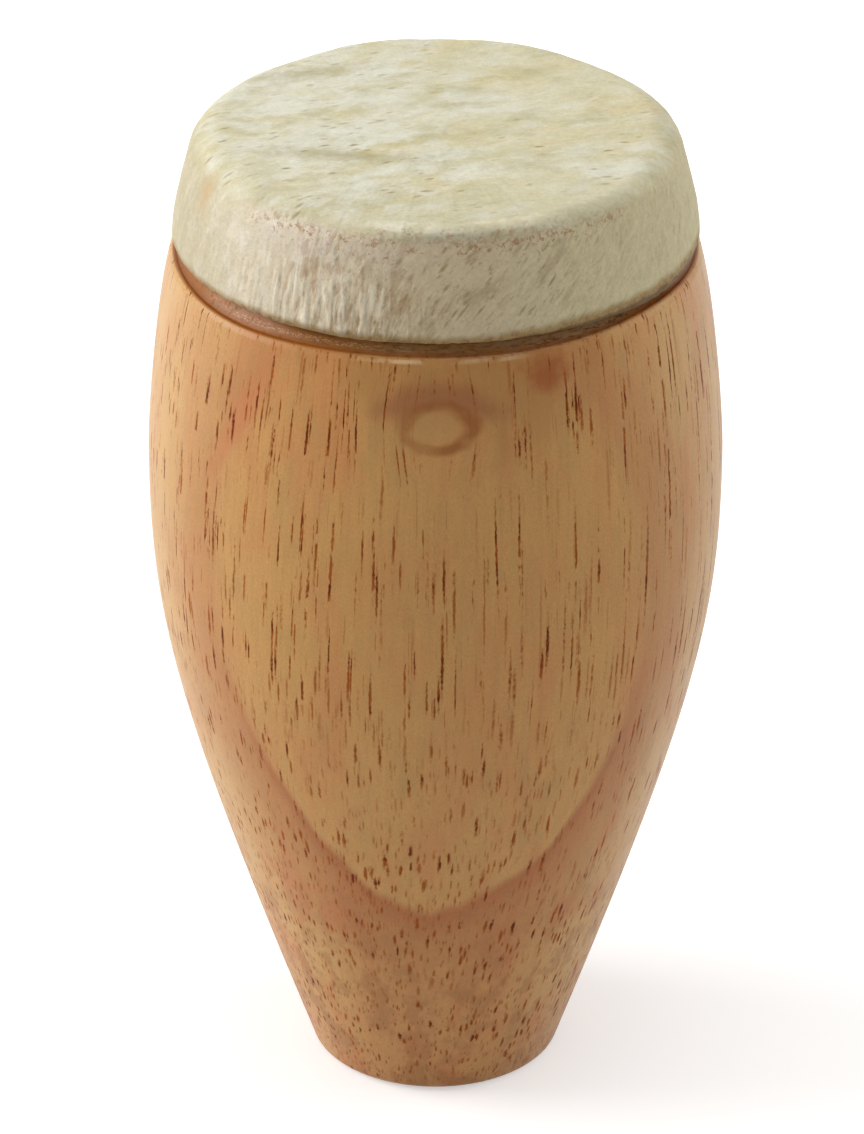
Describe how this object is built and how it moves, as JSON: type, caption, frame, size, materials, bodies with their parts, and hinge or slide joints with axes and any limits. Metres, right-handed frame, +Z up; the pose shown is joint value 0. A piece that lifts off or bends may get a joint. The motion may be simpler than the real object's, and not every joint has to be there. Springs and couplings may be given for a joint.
{
  "type": "hand shaker",
  "caption": "Turned wooden hand shaker shaped like a small barrel drum, with a rawhide head over a chamber of loose steel pellets.",
  "frame": {"origin": "centre of the foot's flat face", "axes": "+Z up along the turning axis, from the foot to the rawhide head; -Y is the side that faces the camera"},
  "size_m": [0.0568, 0.0568, 0.102],
  "materials": {
    "turned_wood": "light hardwood with a satin clear lacquer",
    "rawhide": "cream rawhide, mottled, dry and slightly glossy on the crown",
    "steel_shot": "smooth plain steel shot"
  },
  "bodies": {
    "body": {"shell": "turned_wood", "rawhide_head": "rawhide"},
    "pellet_01": {"pellet_01": "steel_shot"},
    "pellet_02": {"pellet_02": "steel_shot"},
    "pellet_03": {"pellet_03": "steel_shot"},
    "pellet_04": {"pellet_04": "steel_shot"},
    "pellet_05": {"pellet_05": "steel_shot"},
    "pellet_06": {"pellet_06": "steel_shot"},
    "pellet_07": {"pellet_07": "steel_shot"},
    "pellet_08": {"pellet_08": "steel_shot"},
    "pellet_09": {"pellet_09": "steel_shot"},
    "pellet_10": {"pellet_10": "steel_shot"},
    "pellet_11": {"pellet_11": "steel_shot"},
    "pellet_12": {"pellet_12": "steel_shot"},
    "pellet_13": {"pellet_13": "steel_shot"},
    "pellet_14": {"pellet_14": "steel_shot"},
    "pellet_15": {"pellet_15": "steel_shot"},
    "pellet_16": {"pellet_16": "steel_shot"},
    "pellet_17": {"pellet_17": "steel_shot"},
    "pellet_18": {"pellet_18": "steel_shot"},
    "pellet_19": {"pellet_19": "steel_shot"}
  },
  "joints": [
    {"name": "pellet_01_bounce", "type": "slide", "parent": "body", "child": "pellet_01", "axis": [0, 0, 1], "range_m": [0, 0.0757]},
    {"name": "pellet_02_bounce", "type": "slide", "parent": "body", "child": "pellet_02", "axis": [0, 0, 1], "range_m": [0, 0.0757]},
    {"name": "pellet_03_bounce", "type": "slide", "parent": "body", "child": "pellet_03", "axis": [0, 0, 1], "range_m": [0, 0.0757]},
    {"name": "pellet_04_bounce", "type": "slide", "parent": "body", "child": "pellet_04", "axis": [0, 0, 1], "range_m": [0, 0.0757]},
    {"name": "pellet_05_bounce", "type": "slide", "parent": "body", "child": "pellet_05", "axis": [0, 0, 1], "range_m": [0, 0.0757]},
    {"name": "pellet_06_bounce", "type": "slide", "parent": "body", "child": "pellet_06", "axis": [0, 0, 1], "range_m": [0, 0.0757]},
    {"name": "pellet_07_bounce", "type": "slide", "parent": "body", "child": "pellet_07", "axis": [0, 0, 1], "range_m": [0, 0.0757]},
    {"name": "pellet_08_bounce", "type": "slide", "parent": "body", "child": "pellet_08", "axis": [0, 0, 1], "range_m": [0, 0.0757]},
    {"name": "pellet_09_bounce", "type": "slide", "parent": "body", "child": "pellet_09", "axis": [0, 0, 1], "range_m": [0, 0.0757]},
    {"name": "pellet_10_bounce", "type": "slide", "parent": "body", "child": "pellet_10", "axis": [0, 0, 1], "range_m": [0, 0.0757]},
    {"name": "pellet_11_bounce", "type": "slide", "parent": "body", "child": "pellet_11", "axis": [0, 0, 1], "range_m": [0, 0.0757]},
    {"name": "pellet_12_bounce", "type": "slide", "parent": "body", "child": "pellet_12", "axis": [0, 0, 1], "range_m": [0, 0.0757]},
    {"name": "pellet_13_bounce", "type": "slide", "parent": "body", "child": "pellet_13", "axis": [0, 0, 1], "range_m": [0, 0.0757]},
    {"name": "pellet_14_bounce", "type": "slide", "parent": "body", "child": "pellet_14", "axis": [0, 0, 1], "range_m": [0, 0.0757]},
    {"name": "pellet_15_bounce", "type": "slide", "parent": "body", "child": "pellet_15", "axis": [0, 0, 1], "range_m": [0, 0.0757]},
    {"name": "pellet_16_bounce", "type": "slide", "parent": "body", "child": "pellet_16", "axis": [0, 0, 1], "range_m": [0, 0.0757]},
    {"name": "pellet_17_bounce", "type": "slide", "parent": "body", "child": "pellet_17", "axis": [0, 0, 1], "range_m": [0, 0.0757]},
    {"name": "pellet_18_bounce", "type": "slide", "parent": "body", "child": "pellet_18", "axis": [0, 0, 1], "range_m": [0, 0.0757]},
    {"name": "pellet_19_bounce", "type": "slide", "parent": "body", "child": "pellet_19", "axis": [0, 0, 1], "range_m": [0, 0.0757]}
  ]
}
